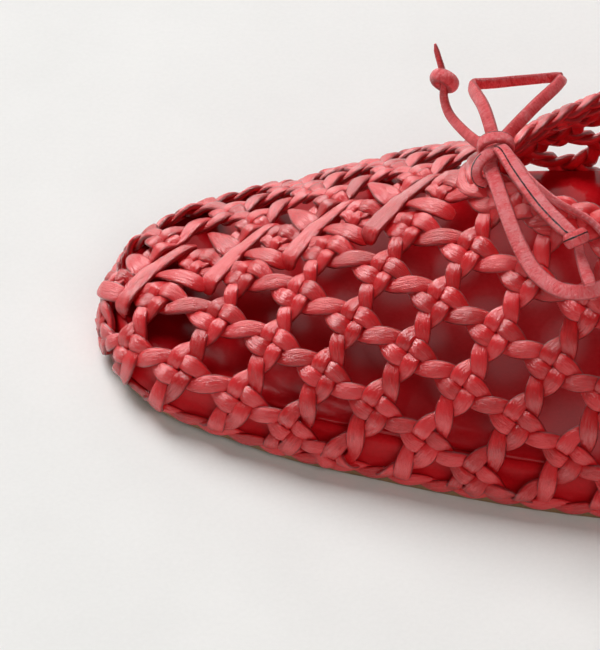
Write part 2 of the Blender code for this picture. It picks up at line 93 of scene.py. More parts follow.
def smoothAt(keys, values, key, flatEnds):   # cubic through the rows, slope from both neighbours
    keys, values = np.asarray(keys, float), np.asarray(values, float)
    key = np.clip(key, keys[0], keys[-1])
    steps = np.diff(keys)
    rises = np.diff(values) / steps
    slopes = np.empty(len(keys))
    slopes[1:-1] = (steps[1:] * rises[:-1] + steps[:-1] * rises[1:]) / (steps[1:] + steps[:-1])
    slopes[0] = 0.0 if flatEnds else rises[0]
    slopes[-1] = 0.0 if flatEnds else rises[-1]
    low = np.clip(np.searchsorted(keys, key) - 1, 0, len(keys) - 2)
    span = steps[low]
    t = (key - keys[low]) / span
    start = (2 * t**3 - 3 * t**2 + 1) * values[low] + (t**3 - 2 * t**2 + t) * span * slopes[low]
    end = (3 * t**2 - 2 * t**3) * values[low + 1] + (t**3 - t**2) * span * slopes[low + 1]
    return start + end


def section(name, cell):
    rows = np.array(lastSections)
    found = smoothAt(rows[:, 0], rows[:, lastColumns.index(name)], cell, name not in ("outer", "inner"))
    return np.maximum(found, 0.0) if name in ("outer", "inner", "lift") else found


def softStep(share):   # from 0 to 1, level at both ends
    return share * share * (3 - 2 * share)


def unit(vectors):
    return vectors / np.maximum(np.linalg.norm(vectors, axis=-1, keepdims=True), 1e-9)


def squared(facing, tangent):   # the facing, turned square to the path
    return unit(facing - tangent * np.sum(facing * tangent, axis=1, keepdims=True))


def evenFacing(facing, passes):   # takes out sudden turns, in place
    for _ in range(passes):
        facing[1:-1] = unit(facing[:-2] + 2 * facing[1:-1] + facing[2:])


def runLengths(points):   # distance along a line of points, from its start
    return np.concatenate([[0], np.cumsum(np.linalg.norm(np.diff(points, axis=0), axis=1))])


def resample(values, lengths, at):
    return np.stack([np.interp(at, lengths, values[:, axis]) for axis in range(3)], -1)


def ribPoints(cell, side, reach):   # one rib of the last: reach 0 on the middle line, 1 at the sole
    full = section("fullOuter" if side < 0 else "fullInner", cell)
    floor = section("lift", cell) + lastShape["edgeHeight"]
    topX, topZ = section("topX", cell), section("topZ", cell)
    x = topX + (section("edgeX", cell) - topX) * reach
    y = side * section("outer" if side < 0 else "inner", cell) * reach
    z = floor + (topZ - floor) * np.maximum(1 - reach**full, 0.0) ** (1 / full)
    return np.stack([x, y, z], -1)


def makeLast():
    # a grid of points over the last, side by cell by distance from the middle line, with the hem turned in
    cells = np.arange(lastShape["toeCell"], lastShape["heelCell"] + 1e-6, lastShape["cellStep"])
    cells[-1] = lastShape["heelCell"]
    across = np.arange(0.0, lastShape["acrossEnd"], lastShape["acrossStep"])
    reach = np.sin(np.linspace(0, math.pi / 2, lastShape["ribSteps"]))
    turnAngles = np.linspace(0, math.pi / 2, lastShape["turnSteps"])[1:]
    grid = np.zeros((2, len(cells), len(across), 3))
    hem = np.zeros((2, len(cells)))
    collar = np.zeros((2, len(cells)))
    heights = smoothAt(collarCells, collarHeights, cells, True)
    hemHeight = section("lift", cells) + np.interp(cells, lastShape["hemCells"], lastShape["hemHeights"])
    for index, side in enumerate((-1, 1)):
        ribs = [ribPoints(np.full(len(reach), cell), side, reach) for cell in cells]
        along = np.gradient(np.array([rib[-1, :2] for rib in ribs]), axis=0)
        inward = unit(np.stack([-along[:, 1], along[:, 0]], -1) * -side)
        for column, whole in enumerate(ribs):
            keep = whole[:, 2] > hemHeight[column] + lastShape["hemRadius"]   # cut where the turn begins
            keep[0] = True
            rib = whole[keep]
            ease = np.clip(1 - (rib[:, 2] - rib[-1, 2]) / lastShape["swellHeight"], 0, 1) ** 2
            swell = inward[column] * lastShape["hemShift"] * ease[:, None]
            rib = rib - np.column_stack([swell, np.zeros(len(rib))])
            path = list(rib)
            last = np.array(path[-1])
            radius = min(lastShape["hemRadius"], max(last[2] - hemHeight[column], lastShape["smallestTurn"]))
            ahead = np.array([*inward[column], 0.0])
            for angle in turnAngles:
                down = np.array([0, 0, radius * math.sin(angle)])
                path.append(last + ahead * radius * (1 - math.cos(angle)) - down)
            path.append(path[-1] + ahead * lastShape["hemReach"])
            path = np.array(path)
            lengths = runLengths(path)
            grid[index, column] = resample(path, lengths, across)
            hem[index, column] = lengths[len(rib) - 1]
            collar[index, column] = np.interp(-heights[column], -whole[:, 2], runLengths(whole))
    return cells, grid, hem, collar


lastCells, lastGrid, lastHem, lastCollar = makeLast()
print("last:", lastGrid.shape)


def folded(cell, across):   # past the middle of the heel or the toe the sheet goes on over the other side
    cell, across = np.broadcast_arrays(np.asarray(cell, float), np.asarray(across, float))
    past = cell > lastShape["heelCell"]
    cell = np.where(past, 2 * lastShape["heelCell"] - cell, cell)
    across = np.where(past, -across, across)
    before = cell < lastShape["toeCell"]
    return np.where(before, 2 * lastShape["toeCell"] - cell, cell), np.where(before, -across, across)


def onLast(cell, across):
    cell, across = folded(cell, across)
    side = (across >= 0).astype(int)
    column = np.clip((cell - lastShape["toeCell"]) / lastShape["cellStep"], 0, len(lastCells) - 1.001)
    place = np.clip(np.abs(across) / lastShape["acrossStep"], 0, lastGrid.shape[2] - 1.001)
    i, j = column.astype(int), place.astype(int)
    f, g = (column - i)[..., None], (place - j)[..., None]
    near = lastGrid[side, i, j] * (1 - f) + lastGrid[side, i + 1, j] * f
    far = lastGrid[side, i, j + 1] * (1 - f) + lastGrid[side, i + 1, j + 1] * f
    return near * (1 - g) + far * g


def facingOn(cell, across):   # which way the last's surface looks
    cell, across = np.asarray(cell, float), np.asarray(across, float)
    cellProbe, acrossProbe = lastShape["facingProbe"]
    along = onLast(cell + cellProbe, across) - onLast(cell - cellProbe, across)
    down = onLast(cell, across + acrossProbe) - onLast(cell, across - acrossProbe)
    return unit(np.cross(along, down))


def insetAt(cell, across):   # how far the weave lies below the last
    cell, across = folded(cell, across)
    table = np.array(lastShape["insetRows"])
    places = lastShape["insetAcross"]
    depths = [np.interp(cell, table[:, 0], table[:, column]) for column in range(1, len(places) + 1)]
    found = depths[0]
    for low, high, start, end in zip(depths, depths[1:], places, places[1:]):
        share = softStep(np.clip((across - start) / (end - start), 0, 1))
        found = np.where(across > start, low * (1 - share) + high * share, found)
    return found


def rowAt(cell):   # height of one row of nodes, half a cell
    return section("row", np.clip(cell, lastShape["toeCell"], lastShape["heelCell"])) / 2


def hemAt(cell, across):   # distance from the middle line to where the weave turns in
    cell, across = folded(cell, across)
    near, far = [np.interp(cell, lastCells, hem) for hem in lastHem]
    return np.where(across < 0, near, far)


def collarAt(cell, across):   # distance from the middle line to the collar's edge, 0 on the closed vamp
    cell, across = folded(cell, across)
    start, end = lastShape["throatCell"], lastShape["throatEndCell"]
    share = np.clip((cell - start) / (end - start), 0, 1) ** lastShape["throatRoundness"]
    found = []
    for collar in lastCollar:
        atEnd = np.interp(end, lastCells, collar)
        found.append(np.where(cell < end, atEnd * share, np.interp(cell, lastCells, collar)))
    return np.where(across < 0, found[0], found[1])


def toFrame(points):   # toe-based millimetres to the frame's metres
    return (np.asarray(points, float) - [lastShape["originX"], lastShape["originY"], 0.0]) * mm


# materials
def hexColour(text):
    parts = [int(text[i:i + 2], 16) / 255 for i in (1, 3, 5)]
    return [p / 12.92 if p <= 0.04045 else ((p + 0.055) / 1.055) ** 2.4 for p in parts] + [1.0]


def addNode(tree, kind, inputs=None, **settings):   # one node, its settings, values or links for its sockets
    node = tree.nodes.new(kind)
    for name, value in settings.items():
        setattr(node, name, value)
    for key, value in (inputs or {}).items():
        if isinstance(value, bpy.types.Node):   # a node stands for its first output
            value = value.outputs[0]
        if isinstance(value, bpy.types.NodeSocket):
            tree.links.new(value, node.inputs[key])
        else:
            node.inputs[key].default_value = value
    return node


def newMaterial(name):
    material = bpy.data.materials.new(name)
    material.use_nodes = True
    tree = material.node_tree
    tree.nodes.clear()
    shader = addNode(tree, "ShaderNodeBsdfPrincipled", {"IOR": 1.5})   # usual for leather and paper
    addNode(tree, "ShaderNodeOutputMaterial", {"Surface": shader})
    return material, tree, shader


stripFinish = {
    "dark": "#CC0710", "mid": "#E4131C", "light": "#EE262E", "stops": (0.44, 0.56, 0.7),
    "edge": "#5E0207", "burnishAndShadeFrom": 0.8, "burnishAndShadeShare": 0.75,   # darker towards both edges of a strip: partly burnished edge, partly painted shade of the creases between strips
    "seam": "#0C0505", "seamMm": 0.26, "seamShine": 0.05,
    "grainMm": 0.2, "grainDepthMm": 0.12, "grainStrength": 0.4,
    "creaseMm": (0.3, 1.7), "creaseDepthMm": 0.5, "creaseStrength": 0.6, "creaseShade": 1.0,
    "roughness": 0.45, "shine": 0.3, "wax": 1.0, "waxRoughness": 0.19, "waxIor": 1.92,
}
# the lace is the same leather folded flat, duller and crinkled across; its colours are painted light:
# lighter and pinker than the strips', for the light that the bow catches
laceFinish = {
    **stripFinish, "dark": "#E6323A", "mid": "#FA4E54", "light": "#FF8086", "edge": "#B0161E",
    "creaseMm": (0.9, 0.42), "creaseDepthMm": 0.8, "creaseStrength": 0.8, "creaseShade": 1.5,
    "wax": 0.9, "waxIor": 1.65,
}


def stripLeather(name, finish):
    # goat leather, dyed and lightly waxed: fine pebble, creases along the fold with painted shade in their
    # valleys, small sharp glints, darker edges, and a black line where the folded strip shows its raw edge
    material, tree, shader = newMaterial(name)
    place = addNode(tree, "ShaderNodeAttribute", attribute_name="stripPlace").outputs["Vector"]
    tone = addNode(tree, "ShaderNodeAttribute", attribute_name="tone").outputs["Fac"]
    seam = addNode(tree, "ShaderNodeAttribute", attribute_name="seam").outputs["Fac"]
    edge = addNode(tree, "ShaderNodeAttribute", attribute_name="edgeShare").outputs["Fac"]
    grainScale = 1 / finish["grainMm"]
    fine = addNode(tree, "ShaderNodeMapping", {   # pebbles a little longer than wide
        "Vector": place, "Scale": (grainScale, grainScale * 0.6, grainScale)})
    grain = addNode(tree, "ShaderNodeTexNoise", {"Vector": fine, "Scale": 1.0, "Detail": 3.0})
    acrossMm, alongMm = finish["creaseMm"]
    long = addNode(tree, "ShaderNodeMapping", {
        "Vector": place, "Scale": (1 / acrossMm, 1 / alongMm, 1 / acrossMm)})
    crease = addNode(tree, "ShaderNodeTexNoise", {
        "Vector": long, "Scale": 1.0, "Detail": 5.0, "Roughness": 0.65, "Distortion": 0.7})
    wide = addNode(tree, "ShaderNodeTexNoise", {   # slow patches
        "Vector": place, "Scale": 0.4, "Detail": 2.0})
    # painted shade: the colour darkens in the creases' valleys, as strongly as creaseShade says
    creaseShading = addNode(tree, "ShaderNodeMapRange", {
        "Value": crease, "From Min": 0.25, "From Max": 0.75,
        "To Min": 0.5 - 0.25 * finish["creaseShade"], "To Max": 0.5 + 0.25 * finish["creaseShade"]})
    mixed = addNode(tree, "ShaderNodeMath", {0: creaseShading, 1: wide}, operation="ADD")
    shade = addNode(tree, "ShaderNodeMath", {0: mixed, 1: tone}, operation="ADD")
    level = addNode(tree, "ShaderNodeMath", {0: shade, 1: 0.4}, operation="MULTIPLY")
    ramp = addNode(tree, "ShaderNodeValToRGB", {"Fac": level})
    ramp.color_ramp.elements.new(finish["stops"][1])
    for stop, at, colour in zip(ramp.color_ramp.elements, finish["stops"], ("dark", "mid", "light")):
        stop.position = at
        stop.color = hexColour(finish[colour])
    # partly burnish, partly painted shade: the colour darkens towards both edges of each strip
    burnishAndShade = addNode(tree, "ShaderNodeMapRange", {
        "Value": edge, "From Min": finish["burnishAndShadeFrom"], "From Max": 1.0,
        "To Min": 0.0, "To Max": finish["burnishAndShadeShare"]}, interpolation_type="SMOOTHSTEP")
    edged = addNode(tree, "ShaderNodeMix", {
        "Factor": burnishAndShade, 6: ramp, 7: hexColour(finish["edge"])}, data_type="RGBA")
    split = addNode(tree, "ShaderNodeSeparateXYZ", {"Vector": place})
    ragged = addNode(tree, "ShaderNodeMapRange", {   # half the line's width, uneven like a torn edge
        "Value": crease, "From Min": 0.3, "From Max": 0.7,
        "To Min": finish["seamMm"] * 0.2, "To Max": finish["seamMm"] * 0.8})
    line = addNode(tree, "ShaderNodeMath", {0: split.outputs["X"], 1: seam, 2: ragged}, operation="COMPARE")
    seamed = addNode(tree, "ShaderNodeMix", {
        "Factor": line, 6: edged.outputs[2], 7: hexColour(finish["seam"])}, data_type="RGBA")
    gloss = addNode(tree, "ShaderNodeMapRange", {
        "Value": grain, "From Min": 0.3, "From Max": 0.7,
        "To Min": finish["roughness"] - 0.06, "To Max": finish["roughness"] + 0.1})
    shine = addNode(tree, "ShaderNodeMapRange", {
        "Value": line, "To Min": finish["shine"], "To Max": finish["seamShine"]})
    pebble = addNode(tree, "ShaderNodeBump", {
        "Height": grain, "Strength": finish["grainStrength"], "Distance": finish["grainDepthMm"] * mm})
    bump = addNode(tree, "ShaderNodeBump", {
        "Height": crease, "Strength": finish["creaseStrength"], "Distance": finish["creaseDepthMm"] * mm,
        "Normal": pebble})
    tree.links.new(seamed.outputs[2], shader.inputs["Base Color"])
    tree.links.new(gloss.outputs["Result"], shader.inputs["Roughness"])
    tree.links.new(shine.outputs["Result"], shader.inputs["Specular IOR Level"])
    tree.links.new(bump.outputs["Normal"], shader.inputs["Normal"])
    tree.links.new(bump.outputs["Normal"], shader.inputs["Coat Normal"])
    shader.inputs["Coat Weight"].default_value = finish["wax"]
    shader.inputs["Coat Roughness"].default_value = finish["waxRoughness"]
    shader.inputs["Coat IOR"].default_value = finish["waxIor"]
    return material


wovenLeather = stripLeather("wovenGoatLeather", stripFinish)
laceLeather = stripLeather("foldedLaceLeather", laceFinish)


# one strip of leather swept along each line: the line carries its facing, width and thickness
def sweepTree():
    tree = bpy.data.node_groups.new("sweepStrip", "GeometryNodeTree")
    face = tree.interface
    face.new_socket("Geometry", in_out="INPUT", socket_type="NodeSocketGeometry")
    sides = face.new_socket("Sides", in_out="INPUT", socket_type="NodeSocketInt")
    square = face.new_socket("Squareness", in_out="INPUT", socket_type="NodeSocketFloat")
    leather = face.new_socket("Leather", in_out="INPUT", socket_type="NodeSocketMaterial")
    face.new_socket("Geometry", in_out="OUTPUT", socket_type="NodeSocketGeometry")
    start = addNode(tree, "NodeGroupInput")
    read = {}
    for key in ("facing", "railPlace", "railSide", "cut", "wide", "thick", "along"):
        kind = "FLOAT" if key in ("wide", "thick", "along") else "FLOAT_VECTOR"
        read[key] = addNode(tree, "GeometryNodeInputNamedAttribute", {"Name": key}, data_type=kind)
    position = addNode(tree, "GeometryNodeInputPosition")
    tangent = addNode(tree, "GeometryNodeInputTangent")
    cross = addNode(tree, "ShaderNodeVectorMath", {0: read["facing"], 1: tangent}, operation="CROSS_PRODUCT")
    sideways = addNode(tree, "ShaderNodeVectorMath", {0: cross}, operation="NORMALIZE")
    lines = addNode(tree, "GeometryNodeMeshToCurve", {"Mesh": start.outputs["Geometry"]})
    for key, value in (("railPlace", position), ("railSide", sideways)):
        lines = addNode(tree, "GeometryNodeStoreNamedAttribute", {
            "Geometry": lines, "Name": key, "Value": value}, data_type="FLOAT_VECTOR")
    circle = addNode(tree, "GeometryNodeCurvePrimitiveCircle", {
        "Resolution": start.outputs["Sides"], "Radius": 1.0})
    split = addNode(tree, "ShaderNodeSeparateXYZ", {"Vector": position})
    power = addNode(tree, "ShaderNodeMath", {0: 2.0, 1: start.outputs["Squareness"]}, operation="DIVIDE")
    cut = {}
    for axis in ("X", "Y"):   # a squarer ring than the circle, like a pressed strap
        size = addNode(tree, "ShaderNodeMath", {0: split.outputs[axis]}, operation="ABSOLUTE")
        size = addNode(tree, "ShaderNodeMath", {0: size, 1: power}, operation="POWER")
        sign = addNode(tree, "ShaderNodeMath", {0: split.outputs[axis]}, operation="SIGN")
        cut[axis] = addNode(tree, "ShaderNodeMath", {0: size, 1: sign}, operation="MULTIPLY")
    outline = addNode(tree, "ShaderNodeCombineXYZ", cut)
    ring = addNode(tree, "GeometryNodeStoreNamedAttribute", {
        "Geometry": circle, "Name": "cut", "Value": outline}, data_type="FLOAT_VECTOR")
    swept = addNode(tree, "GeometryNodeCurveToMesh", {
        "Curve": lines, "Profile Curve": ring, "Fill Caps": True})
    share = addNode(tree, "ShaderNodeSeparateXYZ", {"Vector": read["cut"]})
    place = read["railPlace"]
    onStrip = {}   # from the line out to the ring
    for axis, size, way in (("X", "wide", "railSide"), ("Y", "thick", "facing")):
        reach = addNode(tree, "ShaderNodeMath", {0: read[size], 1: share.outputs[axis]}, operation="MULTIPLY")
        reach = addNode(tree, "ShaderNodeMath", {0: reach, 1: 0.5}, operation="MULTIPLY")
        step = addNode(tree, "ShaderNodeVectorMath", {0: read[way], "Scale": reach}, operation="SCALE")
        place = addNode(tree, "ShaderNodeVectorMath", {0: place, 1: step}, operation="ADD")
        onStrip[axis] = addNode(tree, "ShaderNodeMath", {0: reach, 1: 1 / mm}, operation="MULTIPLY")
    swept = addNode(tree, "GeometryNodeSetPosition", {"Geometry": swept, "Position": place})
    mapAt = addNode(tree, "ShaderNodeCombineXYZ", {"X": onStrip["X"], "Y": read["along"], "Z": onStrip["Y"]})
    swept = addNode(tree, "GeometryNodeStoreNamedAttribute", {   # across, along and up in mm, for the grain
        "Geometry": swept, "Name": "stripPlace", "Value": mapAt}, data_type="FLOAT_VECTOR")
    edge = addNode(tree, "ShaderNodeMath", {0: share.outputs["X"]}, operation="ABSOLUTE")
    swept = addNode(tree, "GeometryNodeStoreNamedAttribute", {   # 1 at both edges of the strip
        "Geometry": swept, "Name": "edgeShare", "Value": edge}, data_type="FLOAT")
    swept = addNode(tree, "GeometryNodeSetShadeSmooth", {"Geometry": swept})
    swept = addNode(tree, "GeometryNodeRealizeInstances", {"Geometry": swept})
    swept = addNode(tree, "GeometryNodeSetMaterial", {
        "Geometry": swept, "Material": start.outputs["Leather"]})
    addNode(tree, "NodeGroupOutput", {"Geometry": swept})
    return tree, {"sides": sides.identifier, "square": square.identifier, "leather": leather.identifier}


sweepGroup, sweepSockets = sweepTree()


def sweep(name, runs, shape, material):
    # runs come from makeRun; shape says how many sides a strip has and how square it is
    points = np.concatenate([run["points"] for run in runs])
    edges = []
    first = 0
    for run in runs:
        after = first + len(run["points"])
        edges.append(np.stack([np.arange(first, after - 1), np.arange(first + 1, after)], -1))
        first = after
    lines = bpy.data.meshes.new(name + "Lines")
    lines.from_pydata(points.tolist(), np.concatenate(edges).tolist(), [])
    for key in ("facing", "wide", "thick", "along", "tone", "seam"):
        values = np.concatenate([run[key] for run in runs]).astype(np.float32)
        layer = lines.attributes.new(key, "FLOAT_VECTOR" if key == "facing" else "FLOAT", "POINT")
        layer.data.foreach_set("vector" if key == "facing" else "value", values.ravel())
    carrier = bpy.data.objects.new(name + "Carrier", lines)
    scene.collection.objects.link(carrier)
    modifier = carrier.modifiers.new("sweep", "NODES")
    modifier.node_group = sweepGroup
    modifier[sweepSockets["sides"]] = shape["sides"]
    modifier[sweepSockets["square"]] = shape["squareness"]
    modifier[sweepSockets["leather"]] = material
    baked = bpy.data.meshes.new_from_object(carrier.evaluated_get(bpy.context.evaluated_depsgraph_get()))
    bpy.data.objects.remove(carrier)
    # the leather reads the other layers, so they stay
    for layer in ("railPlace", "railSide", "cut", "facing", "wide", "thick", "along"):
        if layer in baked.attributes:
            baked.attributes.remove(baked.attributes[layer])
    baked.name = name
    piece = bpy.data.objects.new(name, baked)
    scene.collection.objects.link(piece)
    triangles = sum(len(p.vertices) - 2 for p in baked.polygons)
    print("  ", name, len(runs), "strips", triangles, "triangles")
    return piece


noSeam = 99.0        # a dark edge this far off a strip never shows
grainShift = 731.0   # moves the grain along by the strip's tone, so that no two strips look alike


def makeRun(places, facing, wide, thick, tone, seam=noSeam):
    # places in toe-based millimetres; the facing is squared to the path; seam is where a dark edge shows
    size = len(places)
    return {"points": toFrame(places), "facing": squared(facing, unit(np.gradient(places, axis=0))),
            "wide": np.broadcast_to(wide, size) * mm, "thick": np.broadcast_to(thick, size) * mm,
            "along": runLengths(places) + tone * grainShift, "tone": np.full(size, tone),
            "seam": np.broadcast_to(seam, size)}


# the weave: pairs of strips that cross at the nodes and twist once between them
weave = {
    "width": 2.5, "thickness": 1.2, "swell": 0.2, "sides": 10, "squareness": 2.6,
    "pairGap": 1.32,          # half the distance between the two strips of a pair
    "rise": 0.58,             # over and under
    "swapStart": 0.16,        # share of the way to the next node before a pair starts to twist
    "nodeMm": 10.2,           # usual way from node to node; pairs draw together where it is shorter
    "tightGap": (0.55, 1.12), "tightWidth": (0.64, 1.05),
    "samples": 20, "vampEnd": 5.5,   # points from node to node on the vamp, half as many behind
    "rows": 13.0, "lines": (-9.5, 26.0), "fewest": 6,   # the net is laid out this far, and short scraps go
    "tuckUnder": 3.2,         # how far a strip goes on under the hem
    "flatReach": 1.5, "flatRise": 0.65, "flatThick": 0.3,   # pressed flat between footbed and outsole
    "rimCover": 2.2, "throatGap": 0.16,   # how far up under the collar's braid, and short of the throat
    "heelPast": 0.02,
    "strapCells": (0, 1, 2, 3),   # where straps cross over the ridge
    "pressRows": (-1.0, 1.05), "pressEase": 0.12,   # the weave gives way below them
    "pressReach": (1.3, 3.8), "pressDepth": 0.85, "pressCell": 9.8,
    "farShift": 0.35, "farCells": (3.4, 4.4), "farRows": (2.5, 4.5),   # inner rows lie lower at the throat
    "toeCells": (-1.15, -0.85), "toeShare": 0.35,   # flatter round the toe
    "toeTuck": 0.16, "toeDrop": 1.6,                # where a strip goes on under those of the other side
    "ridgeRows": (0.35, 0.8), "ridgeShare": 0.7,    # and along the ridge, between the straps
    "ridgeEnd": 3.6, "ridgeNarrow": 0.4,
    "seed": 7,
}


def eased(keys, values, at):   # flat at each key, like a strip pressed over its neighbour
    low = np.clip(np.searchsorted(keys, at) - 1, 0, len(keys) - 2)
    part = np.clip((at - keys[low]) / (keys[low + 1] - keys[low]), 0, 1)
    part = 0.5 - 0.5 * np.cos(math.pi * part)
    return values[low] * (1 - part) + values[low + 1] * part


def stripRuns():
    rng = np.random.default_rng(weave["seed"])
    runs = []
    step = 1.0 / weave["samples"]
    row = np.arange(-weave["rows"], weave["rows"] + step / 2, step)
    for family in (1, -1):
        for line in np.arange(*weave["lines"], 1.0):
            cell = line + family * row / 2
            lower = np.interp(cell, weave["farCells"], (0, 1)) * np.interp(row, weave["farRows"], (0, 1))
            across = (row + weave["farShift"] * lower) * rowAt(cell)
            inside = cell > lastShape["toeCell"] - weave["toeTuck"]
            inside &= cell < lastShape["heelCell"] + weave["heelPast"]
            inside &= np.abs(across) < hemAt(cell, across) + weave["tuckUnder"]
            covered = np.abs(across) > collarAt(cell, across) + weave["rimCover"]
            inside &= covered | (cell < lastShape["throatCell"] - weave["throatGap"])
            cuts = np.flatnonzero(np.diff(inside.astype(int)))
            spans = np.split(np.arange(len(row)), cuts + 1)
            for span in spans:
                if not inside[span[0]] or len(span) < weave["fewest"]:
                    continue
                for strand in (1, -1):
                    runs.append(stripRun(cell[span], across[span], row[span], strand, rng.random()))
    return runs


def pressAt(cell, row):   # 1 below a strap, 0 clear of it
    found = np.zeros(len(row))
    low, high = weave["pressRows"]
    ease = weave["pressEase"]
    ends = np.clip((row - low) / ease, 0, 1) * np.clip((high - row) / ease, 0, 1)
    full, none = weave["pressReach"]
    for crossing in weave["strapCells"]:
        for slant in (1, -1):
            away = np.abs(cell - crossing - slant * row / 2) * weave["pressCell"]   # mm off the middle
            found = np.maximum(found, softStep(np.clip((none - away) / (none - full), 0, 1)) * ends)
    return found


def stripRun(cell, across, row, strand, tone):
    base = onLast(cell, across)
    facing = facingOn(cell, across)
    steps = np.gradient(base, axis=0)
    sideways = np.cross(facing, unit(steps))
    tight = np.linalg.norm(steps, axis=1) * weave["samples"] / weave["nodeMm"]
    tight = np.clip(tight, *weave["tightGap"])
    nodes = np.floor(row)
    share = row - nodes
    swap = softStep(np.clip((share - weave["swapStart"]) / (1 - 2 * weave["swapStart"]), 0, 1))
    sign = strand * np.where(nodes % 2 == 0, 1.0, -1.0)
    offset = sign * (1 - 2 * swap) * weave["pairGap"] * tight
    reach = weave["pairGap"] / weave["nodeMm"]
    keys, rises = [], []
    for node in range(int(nodes.min()) - 1, int(nodes.max()) + 3):   # over and under take turns along a strip
        here = strand * (1 if node % 2 == 0 else -1)
        keys += [node - reach, node + reach, node + 0.5]
        rises += [-here, here, -here]
    height = eased(np.array(keys), np.array(rises, float), row)
    past = np.clip((np.abs(across) - hemAt(cell, across)) / weave["flatReach"], 0, 1)
    height = height * (1 - weave["flatRise"] * past)
    press = pressAt(cell, row)
    calm = np.interp(cell, weave["toeCells"], (weave["toeShare"], 1))
    ridge = np.interp(np.abs(row), weave["ridgeRows"], (weave["ridgeShare"], 1))
    ridge = np.where(cell < weave["ridgeEnd"], ridge, 1)
    above = height * weave["rise"] * calm * ridge * (1 - press)
    above = above - weave["pressDepth"] * press - insetAt(cell, across)
    above = above - weave["toeDrop"] * np.clip((lastShape["toeCell"] - cell) / weave["toeTuck"], 0, 1)
    places = base + sideways * offset[:, None] + facing * above[:, None]
    wide = weave["width"] * (1 + weave["swell"] * height)   # plump on top, narrow below
    wide = wide * np.clip(tight, *weave["tightWidth"]) * (1 - weave["ridgeNarrow"] * (1 - ridge))
    thick = weave["thickness"] * (1 - weave["flatThick"] * past)
    keep = np.ones(len(row), bool)
    keep[1:-1] = (cell[1:-1] < weave["vampEnd"]) | (np.arange(1, len(row) - 1) % 2 == 0)
    run = makeRun(places, facing, wide, thick, tone)
    return {key: value[keep] for key, value in run.items()}


allRuns = stripRuns()
middleY = [run["points"][:, 1].mean() for run in allRuns]
outerWeave = sweep("weave_outer", [run for run, y in zip(allRuns, middleY) if y < 0], weave, wovenLeather)
innerWeave = sweep("weave_inner", [run for run, y in zip(allRuns, middleY) if y >= 0], weave, wovenLeather)
for piece in (outerWeave, innerWeave):
    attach(piece, "root")
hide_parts("upper")
print("weave done")

# straps that cross over the ridge, and the braid round the collar
straps = {
    "width": 3.0, "thickness": 1.2, "sides": 12, "squareness": 2.8, "samples": 72,
    "facingPasses": 10, "placePasses": 6,   # how often the ridge's bends are evened out
    "lifts": (0.45, 0.0, 0.0, 0.6),   # the first and the last lie higher
    # at the toe: shape, cell where it crosses, slant
    "toe": (("toeFront", -1.05, 0.12), ("toePad", -0.7, -1.0)),
    # row from the near end to the far one, height over the last, share of the width
    "over": ((-1.02, -1.8, 0.55), (-1.0, -1.3, 0.78), (-0.97, -0.85, 0.95), (-0.93, -0.5, 1.08),
             (-0.87, -0.3, 1.15), (-0.78, -0.3, 1.18), (-0.6, -0.65, 1.18), (-0.4, -1.1, 1.16),
             (-0.2, -1.5, 1.14), (0.0, -1.7, 1.1), (0.2, -1.4, 1.0), (0.4, -1.1, 0.86),
             (0.55, -1.0, 0.7), (0.66, -1.3, 0.54), (0.72, -1.8, 0.4)),
    "under": ((-0.94, -1.6, 0.5), (-0.92, -1.1, 0.72), (-0.89, -0.7, 0.88), (-0.84, -0.35, 0.98),
              (-0.75, -0.1, 1.02), (-0.6, -0.1, 0.98), (-0.45, -0.45, 0.84), (-0.3, -1.1, 0.62),
              (-0.18, -1.9, 0.42), (0.0, -2.9, 0.6), (0.16, -2.2, 1.15), (0.3, -1.5, 1.38),
              (0.5, -1.05, 1.3), (0.7, -0.85, 1.0), (0.88, -0.8, 0.68), (1.02, -0.85, 0.38),
              (1.12, -1.2, 0.15)),
    "toeFront": ((-0.95, -1.6, 0.7), (-0.9, -0.6, 0.95), (-0.8, -0.1, 1.1), (-0.5, 0.1, 1.15),
                 (-0.2, 0.0, 1.1), (-0.05, -0.6, 1.0), (0.05, -1.6, 0.8)),
    "toePad": ((-0.66, -1.2, 0.6), (-0.6, -0.2, 0.9), (-0.48, 0.4, 1.1), (-0.3, 0.6, 1.15), (-0.1, 0.5, 1.05),
               (0.1, 0.0, 0.8), (0.3, -1.0, 0.5)),
}


def strapRuns():
    rng = np.random.default_rng(weave["seed"] + 1)
    runs = []
    lay = [(*row, 0.0) for row in straps["toe"]]
    for crossing, lift in zip(weave["strapCells"], straps["lifts"]):   # the top one slants to the far back
        lay += [("over", crossing, 1.0, lift), ("under", crossing, -1.0, lift)]
    for shape, crossing, slant, lift in lay:
        keys, heights, widths = np.array(straps[shape]).T
        row = np.linspace(keys[0], keys[-1], straps["samples"])
        cell = crossing + slant * row / 2
        across = row * rowAt(cell)
        height = smoothAt(keys, heights, row, False) + lift
        wide = straps["width"] * smoothAt(keys, widths, row, False)
        base = onLast(cell, across)
        facing = facingOn(cell, across)
        evenFacing(facing, straps["facingPasses"])
        sideways = np.cross(facing, unit(np.gradient(base, axis=0)))
        places = base + facing * height[:, None]
        for _ in range(straps["placePasses"]):
            places[1:-1] = (places[:-2] + 2 * places[1:-1] + places[2:]) / 4
        curled = np.cross(unit(np.gradient(places, axis=0)), sideways)   # turns down with the strap's ends
        runs.append(makeRun(places, curled, wide, straps["thickness"], rng.random()))
    return runs


ridgeStraps = sweep("ridge_straps", strapRuns(), straps, wovenLeather)
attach(ridgeStraps, "root")

